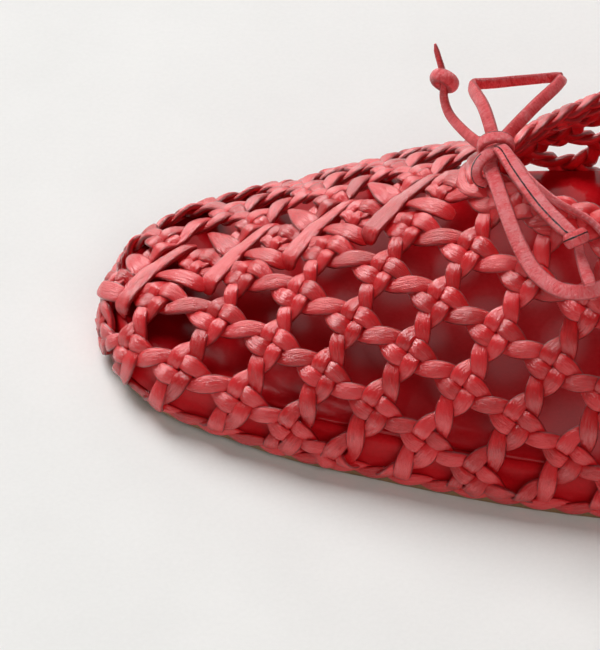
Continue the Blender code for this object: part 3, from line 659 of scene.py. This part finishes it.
braid = {
    "strands": 4, "pitch": 17.0, "halfTravel": 2.0, "width": 2.7, "thickness": 1.3, "rise": 0.6,
    "sides": 10, "squareness": 2.6,
    "inset": 2.6,             # middle of the braid below the collar's edge
    "samplesPerPitch": 40, "lift": 0.35, "facingPasses": 12,
    "sharpness": 0.97,        # how straight a strand runs between its turns at the edges
    "turns": (-0.125, 0.125, 0.25, 0.375, 0.625, 0.75, 0.875, 1.125),   # where it is lowest and highest
    "levels": (-1.0, 1.0, -1.0, 1.0, -1.0, 1.0, -1.0, 1.0),
    "backSteps": 400, "throatSteps": 160, "below": 1.5,   # the collar's path, and where its facing is read
}


def collarPath():   # the collar's edge from the heel along the outer side, round the throat and back inside
    start, end = lastShape["throatCell"], lastShape["throatEndCell"]
    throat = start + (end - start) * np.linspace(1, 0, braid["throatSteps"])[1:] ** 2
    cells = np.concatenate([np.linspace(lastShape["heelCell"], end, braid["backSteps"]), throat])
    near = -collarAt(cells, np.full(len(cells), -1.0))
    far = collarAt(cells, np.full(len(cells), 1.0))
    across = np.concatenate([near, far[::-1][1:]])
    cells = np.concatenate([cells, cells[::-1][1:]])
    below = np.where(across < 0, -braid["below"], braid["below"])
    return onLast(cells, across), facingOn(cells, across + below)


def braidRuns():
    rng = np.random.default_rng(weave["seed"] + 2)
    edge, facing = collarPath()
    lengths = runLengths(edge)
    turns = round(lengths[-1] / braid["pitch"])
    count = turns * braid["samplesPerPitch"]
    at = np.linspace(0, lengths[-1], count + 1)
    place, facing = resample(edge, lengths, at), resample(facing, lengths, at)
    evenFacing(facing, braid["facingPasses"])
    tangent = unit(np.gradient(place, axis=0))
    facing = squared(facing, tangent)
    down = np.cross(facing, tangent)
    middle = place + down * braid["inset"] + facing * braid["lift"]
    sharp = braid["sharpness"]
    runs = []
    for strand in range(braid["strands"]):
        phase = (np.linspace(0, turns, count + 1) + strand / braid["strands"]) % 1.0
        swing = np.arcsin(sharp * np.sin(2 * math.pi * (phase - 0.25))) / math.asin(sharp)
        height = eased(np.array(braid["turns"]), np.array(braid["levels"]), phase) * braid["rise"]
        places = middle + down * (swing * braid["halfTravel"])[:, None] + facing * height[:, None]
        runs.append(makeRun(places, facing, braid["width"], braid["thickness"], rng.random()))
    return runs


collarBraid = sweep("collar_braid", braidRuns(), braid, wovenLeather)
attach(collarBraid, "root")
print("straps and braid done")


# sole pieces: rings round the outline, stacked into a rounded edge, closed by lanes across
soleSet = {
    "lanes": 14, "toeInset": 0.5, "toeCells": (-0.7, 1.2),   # drawn in under the weave at the toe
    "closeCells": (0.6, 13.0), "steps": (70, 150, 60),   # points stand closer round the toe and the heel
    # outset from the last's edge and height over the underside, from the underside to the top
    "outsole": ((-0.4, 0.0), (-0.18, 0.05), (-0.04, 0.2), (0.0, 0.45), (0.0, 0.8), (-0.1, 1.1), (-0.5, 1.4),
                (-1.2, 1.7), (-3.5, 2.1), (-6.0, 2.3)),
    "footbed": ((-2.6, 1.3), (-1.0, 0.95), (-0.55, 1.05), (-0.4, 1.5), (-0.55, 2.6), (-1.2, 3.6), (-1.7, 4.4),
                (-1.8, 5.6), (-1.95, 6.5), (-2.3, 7.15), (-2.9, 7.5), (-3.8, 7.62)),
    "footbedFront": -1.2,
    "sock": ((-3.0, 7.72), (-2.86, 7.8), (-2.8, 8.0), (-2.8, 8.45), (-2.9, 8.68), (-3.2, 8.8)),
    "sockFront": -1.12,
}
plainFinishes = {
    # vegetable-tanned sole leather: a dry brown cut edge
    "tannedSoleLeather": {"dark": "#7C5C3E", "light": "#9A7855", "grainMm": 0.5, "bumpMm": 0.08,
                          "roughness": 0.62, "sheen": 0.5},
    # stacked heel leather: darker than the sole, as dry
    "stackedHeelLeather": {"dark": "#4E3D2E", "light": "#66523F", "grainMm": 0.6, "bumpMm": 0.08,
                           "roughness": 0.6, "sheen": 0.5},
    # thin leather wrapped over the footbed: a smooth red edge
    "wrappedFootbedLeather": {"dark": "#BC0A14", "light": "#D01620", "grainMm": 0.5, "bumpMm": 0.04,
                              "roughness": 0.5, "sheen": 0.3},
    # rubbed lining leather: a soft shine; in front of a place along the shoe, in metres, it is painted dark
    # as shade in the toe and loses its shine
    "sockLeatherShadedToe": {"dark": "#A4060F", "light": "#B40D17", "grainMm": 0.5, "bumpMm": 0.006,
                        "roughness": 0.17, "sheen": 0.37,
                        "toeShade": "#70040A", "toeShadeTo": -0.104, "toeShadeFade": 0.012},
}


def outlineAt(cells, side):   # the sole's edge, and the way out from it
    edge = ribPoints(cells, side, np.ones(len(cells)))[:, :2]
    along = np.gradient(edge, axis=0)
    outward = unit(np.stack([along[:, 1], -along[:, 0]], -1) * -side)
    return edge, outward


def liftAt(x):   # height of the underside over the floor
    cells = np.linspace(lastShape["toeCell"], lastShape["heelCell"], 400)
    return np.interp(x, section("edgeX", cells), section("lift", cells))


def slab(name, cells, profile, material):
    # profile: (outset, height) from the underside to the top; near side runs to the heel, far side back
    count = len(cells)
    total = 2 * count
    drawnIn = np.interp(cells, soleSet["toeCells"], (soleSet["toeInset"], 0.0))
    vertices, faces, rings = [], [], []
    for outset, height in profile:
        ring = []
        for side in (-1, 1):
            edge, outward = outlineAt(cells, side)
            spots = edge + outward * (outset - drawnIn)[:, None]
            ring.append(np.column_stack([spots, liftAt(spots[:, 0]) + height]))
        rings.append(len(vertices) * total)
        vertices.append(np.concatenate([ring[0], ring[1][::-1]]))
    for low, high in zip(rings, rings[1:]):
        for step in range(total):
            after = (step + 1) % total
            faces.append((low + step, low + after, high + after, high + step))
    for ring, loop, flip in ((rings[0], vertices[0], True), (rings[-1], vertices[-1], False)):
        columns = [[ring + i for i in range(count)]]
        for lane in range(1, soleSet["lanes"]):
            share = lane / soleSet["lanes"]
            start = sum(len(r) for r in vertices)
            vertices.append(loop[:count] * (1 - share) + loop[count:][::-1] * share)
            columns.append([start + i for i in range(count)])
        columns.append([ring + total - 1 - i for i in range(count)])
        for one, two in zip(columns, columns[1:]):
            for i in range(count - 1):
                face = (one[i], one[i + 1], two[i + 1], two[i])
                faces.append(face[::-1] if flip else face)
    mesh = bpy.data.meshes.new(name)
    mesh.from_pydata(toFrame(np.concatenate(vertices)).tolist(), [], faces)
    mesh.validate()
    mesh.shade_smooth()
    mesh.materials.append(material)
    piece = bpy.data.objects.new(name, mesh)
    scene.collection.objects.link(piece)
    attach(piece, "root")
    return piece


def grainMaterial(name, finish):   # fine grain over slow patches, between two close colours
    material, tree, shader = newMaterial(name)
    place = addNode(tree, "ShaderNodeTexCoord").outputs["Object"]
    scale = 1 / mm / finish["grainMm"]
    grain = addNode(tree, "ShaderNodeTexNoise", {
        "Vector": place, "Scale": scale, "Detail": 4.0, "Roughness": 0.6})
    cloud = addNode(tree, "ShaderNodeTexNoise", {   # two dozen grains wide
        "Vector": place, "Scale": scale / 24, "Detail": 2.0})
    blend = addNode(tree, "ShaderNodeMath", {0: grain, 1: cloud}, operation="ADD")
    level = addNode(tree, "ShaderNodeMath", {0: blend, 1: 0.5}, operation="MULTIPLY")
    ramp = addNode(tree, "ShaderNodeValToRGB", {"Fac": level})
    for stop, at, colour in zip(ramp.color_ramp.elements, (0.35, 0.65), ("dark", "light")):
        stop.position = at
        stop.color = hexColour(finish[colour])
    gloss = addNode(tree, "ShaderNodeMapRange", {
        "Value": grain, "From Min": 0.3, "From Max": 0.7,
        "To Min": finish["roughness"] - 0.06, "To Max": finish["roughness"] + 0.06})
    bump = addNode(tree, "ShaderNodeBump", {
        "Height": grain, "Strength": 0.5, "Distance": finish["bumpMm"] * mm})
    tree.links.new(ramp.outputs["Color"], shader.inputs["Base Color"])
    tree.links.new(gloss.outputs["Result"], shader.inputs["Roughness"])
    tree.links.new(bump.outputs["Normal"], shader.inputs["Normal"])
    shader.inputs["Specular IOR Level"].default_value = finish["sheen"]
    # painted shade in the toe: in front of toeShadeTo the colour fades to the dark shade, the shine to none
    if "toeShadeTo" in finish:
        split = addNode(tree, "ShaderNodeSeparateXYZ", {"Vector": place})
        clear = addNode(tree, "ShaderNodeMapRange", {
            "Value": split.outputs["X"], "From Min": finish["toeShadeTo"] - finish["toeShadeFade"],
            "From Max": finish["toeShadeTo"]})
        shine = addNode(tree, "ShaderNodeMath", {0: clear, 1: finish["sheen"]}, operation="MULTIPLY")
        shaded = addNode(tree, "ShaderNodeMix", {
            "Factor": clear, 6: hexColour(finish["toeShade"]), 7: ramp}, data_type="RGBA")
        tree.links.new(shine.outputs["Value"], shader.inputs["Specular IOR Level"])
        tree.links.new(shaded.outputs[2], shader.inputs["Base Color"])
    return material


soleLeather, heelStack, footbedLeather, sockLeather = [grainMaterial(*item) for item in plainFinishes.items()]

toeEnd, heelStart = soleSet["closeCells"]
toeSteps, middleSteps, heelSteps = soleSet["steps"]
allCells = np.concatenate([
    lastShape["toeCell"] + (toeEnd - lastShape["toeCell"]) * np.linspace(0, 1, toeSteps) ** 2,
    np.linspace(toeEnd, heelStart, middleSteps)[1:],
    lastShape["heelCell"] - (lastShape["heelCell"] - heelStart) * np.linspace(1, 0, heelSteps)[1:] ** 2])
outsole = slab("outsole_leather", allCells, soleSet["outsole"], soleLeather)
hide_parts("outsole")
footbedCells = allCells[allCells > soleSet["footbedFront"]]
footbed = slab("footbed_board", footbedCells, soleSet["footbed"], footbedLeather)
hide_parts("footbed")
sockCells = allCells[allCells > soleSet["sockFront"]]
sock = slab("sock_lining", sockCells, soleSet["sock"], sockLeather)
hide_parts("sock")

# the weave's last turns lie along the hem like a twisted edge
hemTwist = {
    "pitch": 11.0, "outset": -0.1, "swing": 0.45, "width": 2.0, "thickness": 1.0, "samplesPerPitch": 24,
    "sides": 8, "squareness": 2.3, "lookUp": 0.25,
    "cells": (-0.9, 0.3, 5.0), "heights": (1.25, 1.95, 2.1), "drawnIn": (0.7, 0.2, 0.0),
    "smoothCells": (-0.5, 0.2), "smoothWidth": 0.8,   # a smooth band round the toe
    "turnWidth": 0.45, "turnLess": 0.1,               # narrow where a turn goes behind
}


def hemRuns():
    rng = np.random.default_rng(weave["seed"] + 3)
    drawnIn = np.interp(allCells, hemTwist["cells"], hemTwist["drawnIn"])
    height = np.interp(allCells, hemTwist["cells"], hemTwist["heights"])
    runs = []
    for side in (-1, 1):
        edge, outward = outlineAt(allCells, side)
        spots = edge + outward * (hemTwist["outset"] - drawnIn)[:, None]
        path = np.column_stack([spots, liftAt(spots[:, 0]) + height])
        facing = np.column_stack([outward, np.full(len(outward), hemTwist["lookUp"])])
        lengths = runLengths(path)
        at = np.linspace(0, lengths[-1], round(lengths[-1] / hemTwist["pitch"] * hemTwist["samplesPerPitch"]))
        twisted = np.interp(at, lengths, np.interp(allCells, hemTwist["smoothCells"], (0, 1)))
        path, facing = resample(path, lengths, at), unit(resample(facing, lengths, at))
        up = np.cross(facing, unit(np.gradient(path, axis=0))) * side
        swing = (hemTwist["swing"] * twisted)[:, None]
        for strand in (0.0, math.pi):
            turn = at / hemTwist["pitch"] * 2 * math.pi + strand
            places = path + swing * (up * np.cos(turn)[:, None] + facing * np.sin(turn)[:, None])
            swell = twisted * (hemTwist["turnWidth"] * np.sin(turn) - hemTwist["turnLess"])
            wide = hemTwist["width"] * (hemTwist["smoothWidth"] + swell)
            runs.append(makeRun(places, facing, wide, hemTwist["thickness"], rng.random()))
    return runs


hemEdge = sweep("hem_edge", hemRuns(), hemTwist, wovenLeather)
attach(hemEdge, "root")

heel = bpy.data.objects["heel"]
for socket in heel.material_slots:   # the heel's own block stays as built
    socket.material = heelStack
print("sole done")


# the bow: flat folded lace, routes as in the part, toe-based millimetres
bow = {
    "width": 2.25, "thickness": 1.2, "sides": 14, "squareness": 2.8, "step": 0.4, "ringSteps": 48,
    "knot": (64.8, -0.2, 42.0),
    "farLoop": ((64.2, 2.9, 43.5), (62.8, 7.7, 44.6), (61.2, 12.9, 43.7), (61.1, 15.3, 43.1),
                (64.6, 15.7, 43.3), (69.5, 15.7, 44.1), (74.8, 15.3, 45.1), (74.9, 13.0, 45.7),
                (71.0, 7.6, 45.0), (66.9, 2.6, 43.2)),
    "farEnd": ((62.2, 1.9, 41.7), (59.6, 5.2, 41.6), (57.3, 9.0, 41.8), (56.3, 11.6, 43.2)),
    "farEndKnot": (56.3, 13.3, 45.3),
    "farTail": ((55.7, 14.6, 47.2), (55.1, 15.2, 49.0), (54.6, 15.6, 51.0)),
    "nearLoop": ((64.2, -2.8, 41.0), (65.6, -7.8, 40.2), (67.3, -12.9, 38.6), (69.4, -17.7, 36.5),
                 (72.0, -21.9, 34.9), (75.8, -25.3, 34.5), (80.1, -26.4, 35.4), (83.7, -25.5, 36.9),
                 (84.3, -22.2, 39.5), (80.8, -17.7, 41.9), (74.9, -12.8, 42.1), (70.5, -7.4, 42.3),
                 (67.7, -2.0, 42.2)),
    "nearEnd": ((66.0, -2.6, 44.0), (68.3, -8.3, 44.4), (72.1, -14.6, 43.3), (75.7, -18.4, 41.9)),
    "nearEndKnot": (78.0, -20.2, 41.0),
    "nearTail": ((78.6, -22.1, 39.6), (79.4, -24.8, 38.7), (80.3, -27.4, 37.8)),
}


def smoothPath(points, step):   # even points on a smooth curve through a route, and their place in it
    points = np.array(points, float)
    padded = np.vstack([2 * points[0] - points[1], points, 2 * points[-1] - points[-2]])
    fine, order = [], []
    t = np.linspace(0, 1, 24, endpoint=False)[:, None]
    for index, (before, start, end, after) in enumerate(zip(padded, padded[1:], padded[2:], padded[3:])):
        fine.append(start * (1 - 3 * t**2 + 2 * t**3) + end * (3 * t**2 - 2 * t**3)
                    + (end - before) / 2 * (t**3 - 2 * t**2 + t) + (after - start) / 2 * (t**3 - t**2))
        order.append(index + t[:, 0])
    fine = np.vstack(fine + [points[-1:]])
    order = np.concatenate(order + [[len(points) - 1]])
    lengths = runLengths(fine)
    at = np.linspace(0, lengths[-1], max(4, round(lengths[-1] / step)))
    return resample(fine, lengths, at), np.interp(at, lengths, order)


def laceRun(lace):
    # facings, widths and seams go by place in the route: which way the flat side looks, share of the width,
    # dark edge
    places, order = smoothPath(lace["route"], bow["step"])
    keys, ways = zip(*lace["facings"])
    facing = resample(np.array(ways, float), keys, order)
    share = np.interp(order, *zip(*lace["widths"]))
    seam = np.interp(order, *zip(*lace["seams"]))
    thick = bow["thickness"] * share**0.5
    return makeRun(places, unit(facing), bow["width"] * share, thick, lace["tone"], seam), places


def ringRun(ring):   # a wrap of lace round an axis
    axis = unit(np.array(ring["axis"], float))
    first = np.array(ring["start"], float)
    first = unit(first - axis * np.dot(first, axis))
    second = np.cross(axis, first)
    angle = np.radians(np.linspace(0, 360, bow["ringSteps"]))[:, None]
    out = first * np.cos(angle) * ring["radii"][0] + second * np.sin(angle) * ring["radii"][1]
    places = np.array(ring["middle"]) + out
    return makeRun(places, unit(out), ring["wide"], ring["thick"], ring["tone"], ring["seam"])


laces = {
    "lace_far": {
        "route": [bow["knot"], *bow["farLoop"], bow["knot"], *bow["farEnd"], bow["farEndKnot"],
                  *bow["farTail"]],
        "facings": [(0, (-0.4, -0.5, 0.8)), (2.8, (-0.6, -0.6, 0.6)), (4.4, (0, -0.85, -0.1)),
                    (6.6, (0, -0.85, -0.1)), (7.9, (0.4, -0.5, 0.7)), (11, (0.4, -0.5, 0.8)),
                    (12, (-0.4, -0.5, 0.7)), (16, (-0.6, -0.5, 0.5)), (19, (-0.5, -0.8, 0.3))],
        "widths": [(0, 1.0), (4, 0.98), (6.5, 0.85), (8, 0.9), (11, 1.0), (12, 0.85), (15, 0.66), (17, 0.5),
                   (18.4, 0.42), (19, 0.14)],
        "seams": [(0, noSeam), (19, noSeam)],
        "nodes": ("bow_loop_far", "bow_end_far", "bow_tail_far"), "tone": 0.35,
    },
    "lace_near": {
        "route": [bow["knot"], *bow["nearLoop"], bow["knot"], *bow["nearEnd"], bow["nearEndKnot"],
                  *bow["nearTail"]],
        "facings": [(0, (-0.2, -0.5, 0.85)), (5, (-0.3, -0.5, 0.8)), (8, (0.6, -0.5, 0.6)),
                    (9.4, (0.56, 0.3, 0.6)), (10, (0.56, 0.44, 0.46)), (13, (0.56, 0.44, 0.46)),
                    (14, (0.2, -0.5, 0.85)), (18, (0.1, -0.6, 0.8)), (20, (0.3, -0.75, 0.5)),
                    (22, (0.3, -0.8, 0.5))],
        "widths": [(0, 1.1), (6, 1.18), (9, 1.05), (13, 0.95), (14, 1.05), (16, 1.25), (18, 1.2),
                   (19.2, 0.72), (20, 0.72), (21.6, 0.98), (22, 0.9)],
        "seams": [(0, noSeam), (13.9, noSeam), (14, -0.42), (18.6, -0.42), (18.7, noSeam), (22, noSeam)],
        "nodes": ("bow_loop_near", "bow_end_near", "bow_tail_near"), "tone": 0.6,
    },
}
endKnots = {
    "lace_far": {
        "piece": "end_knot_far", "node": "bow_end_knot_far", "middle": bow["farEndKnot"],
        "axis": (0.42, 0.80, 0.42), "start": (0, 0.7, -0.7), "radii": (1.6, 1.55), "wide": 2.5, "thick": 2.0,
        "sides": 16, "squareness": 2.05, "tone": 0.5, "seam": noSeam,
    },
    "lace_near": {
        "piece": "end_knot_near", "node": "bow_end_knot_near", "middle": bow["nearEndKnot"],
        "axis": (0.42, -0.60, -0.68), "start": (0, 0.7, -0.7), "radii": (1.4, 1.3), "wide": 2.6, "thick": 1.6,
        "sides": 16, "squareness": 2.05, "tone": 0.5, "seam": -0.25,
    },
}
for name, lace in laces.items():
    end = endKnots[name]
    endKnot = sweep(end["piece"], [ringRun(end)], end, laceLeather)
    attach(endKnot, "root")
    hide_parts(end["node"])
    run, places = laceRun(lace)
    cord = sweep(name, [run], bow, laceLeather)
    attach(cord, "root")
    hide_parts(*lace["nodes"])

bowKnot = {
    "sides": 14, "squareness": 2.5,
    # the wrap that holds the loops
    "ring": {"middle": (65.0, 0.1, 42.7), "axis": (0.1, -0.9, -0.1), "start": (1, 0, 0), "radii": (2.5, 2.0),
             "wide": 2.4, "thick": 1.2, "tone": 0.45, "seam": -0.86},
    # the turn below it that runs round the near leg; its dark edge begins past the first bend
    "hook": ((65.4, -0.6, 42.9), (64.3, -2.0, 43.1), (62.7, -3.0, 42.1), (62.0, -3.8, 40.6),
             (62.4, -4.4, 39.1), (63.6, -4.2, 38.2)),
    "hookFacing": (-0.55, -0.6, 0.55), "hookWide": 2.0, "hookThick": 1.2, "hookTone": 0.55,
    "hookSeam": -0.6, "hookSeamFrom": 1.6,
}
hookPlaces, hookOrder = smoothPath(bowKnot["hook"], bow["step"])
hookFacing = np.tile(unit(np.array(bowKnot["hookFacing"])), (len(hookPlaces), 1))
hookSeam = np.where(hookOrder > bowKnot["hookSeamFrom"], bowKnot["hookSeam"], noSeam)
hookRun = makeRun(hookPlaces, hookFacing, bowKnot["hookWide"], bowKnot["hookThick"], bowKnot["hookTone"],
                  hookSeam)
mainKnot = sweep("bow_wraps", [ringRun(bowKnot["ring"]), hookRun], bowKnot, laceLeather)
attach(mainKnot, "root")
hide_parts("bow_knot")
print("bow done")


# stage: pale floor and soft studio light
stageSet = {
    "size": 4.0,
    "paper": {"dark": "#E9E9E8", "light": "#EEEEED", "grainMm": 0.8, "bumpMm": 0.01,
              "roughness": 0.9, "sheen": 0.3},
    "sky": "#F4F3F1", "skyStrength": 0.06,
}
half = stageSet["size"] / 2
corners = [(-half, -half, 0), (half, -half, 0), (half, half, 0), (-half, half, 0)]
floorMesh = bpy.data.meshes.new("floor")
floorMesh.from_pydata(corners, [], [(0, 1, 2, 3)])
floor = bpy.data.objects.new("floor", floorMesh)
floorMesh.materials.append(grainMaterial("palePaper", stageSet["paper"]))   # plain, a faint tooth close up
scene.collection.objects.link(floor)

world = bpy.data.worlds.new("studio")
scene.world = world
world.use_nodes = True
sky = world.node_tree.nodes["Background"]
sky.inputs["Color"].default_value = hexColour(stageSet["sky"])
sky.inputs["Strength"].default_value = stageSet["skyStrength"]

aimedAt = (-0.06, 0.0, 0.02)
lights = {   # place, size, watts, colour
    "keyTopLeft": ((-1.3, 1.8, 2.2), 2.0, 104.0, "#FFFFFF"),
    "backSheet": ((0.3, 2.4, 1.5), 2.6, 12.0, "#FFFFFF"),
    "fillFront": ((0.35, -1.3, 1.1), 1.4, 11.0, "#FFF9F1"),
}
for name, (place, size, watts, colour) in lights.items():
    lamp = bpy.data.lights.new(name, "AREA")
    lamp.shape = "DISK"
    lamp.size = size
    lamp.energy = watts
    lamp.color = hexColour(colour)[:3]
    holder = bpy.data.objects.new(name, lamp)
    holder.visible_glossy = name != "fillFront"   # the fill lifts the shade without a shine of its own
    scene.collection.objects.link(holder)
    aim = (Vector(aimedAt) - Vector(place)).to_track_quat("-Z", "Y")
    holder.matrix_world = Matrix.Translation(place) @ aim.to_matrix().to_4x4()


# camera, fitted to the photograph: place and directions in the frame
eye = {
    "place": (-0.06453, -0.46756, 0.42283),
    "right": (0.9984, 0.0560, -0.0038), "up": (-0.0345, 0.6658, 0.7453),
    "forward": (-0.0442, 0.7440, -0.6667),
    "pixelsPerRadian": 3740.5, "high": 650, "sensorMm": 36.0,
}
cameraData = bpy.data.cameras.new("camera")
cameraData.sensor_fit = "VERTICAL"
cameraData.sensor_height = eye["sensorMm"]
cameraData.lens = eye["pixelsPerRadian"] / eye["high"] * eye["sensorMm"]
cameraData.clip_start = 0.01
cameraData.clip_end = 20.0
camera = bpy.data.objects.new("camera", cameraData)
turn = Matrix((eye["right"], eye["up"], [-v for v in eye["forward"]])).transposed()
camera.matrix_world = Matrix.Translation(eye["place"]) @ turn.to_4x4()
scene.collection.objects.link(camera)
scene.camera = camera
print("stage done")
